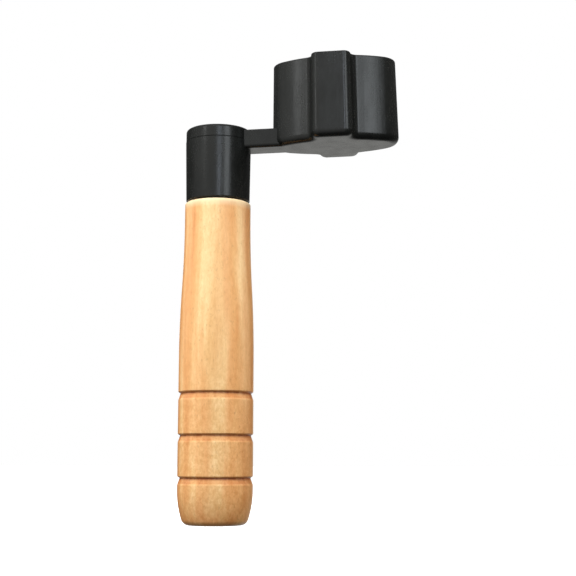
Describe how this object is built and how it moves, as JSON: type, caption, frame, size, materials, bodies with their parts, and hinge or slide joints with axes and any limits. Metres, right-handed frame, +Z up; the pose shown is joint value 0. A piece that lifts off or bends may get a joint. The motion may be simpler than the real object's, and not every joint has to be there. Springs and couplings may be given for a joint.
{
  "type": "string winder",
  "caption": "Hand string winder: a black moulded crank with an open peg cup, turning freely on a turned wooden handle with ring grooves.",
  "frame": {"origin": "on the handle's axis, at the plane of its flat lower end", "axes": "+Z up along the handle's axis, towards the crank and the cup's rim; +X along the crank's arm, from the handle to the cup; +Y across the arm"},
  "size_m": [0.0594, 0.0248, 0.1244],
  "materials": {
    "wood": "pale turned hardwood, satin lacquer",
    "black_plastic": "black moulded plastic, glossy with a faint texture",
    "nylon": "natural nylon, matt",
    "steel": "zinc-plated steel"
  },
  "bodies": {
    "handle": {"wooden_handle": "wood", "upper_bush": "nylon", "lower_bush": "nylon"},
    "crank": {"crank": "black_plastic", "spindle": "steel", "thrust_washer": "nylon", "retaining_washer": "steel", "retaining_screw": "steel"}
  },
  "joints": [
    {"name": "crank_spin", "type": "hinge", "parent": "handle", "child": "crank", "pos_m": [0, 0, 0.0865], "axis": [0, 0, 1], "continuous": true}
  ]
}
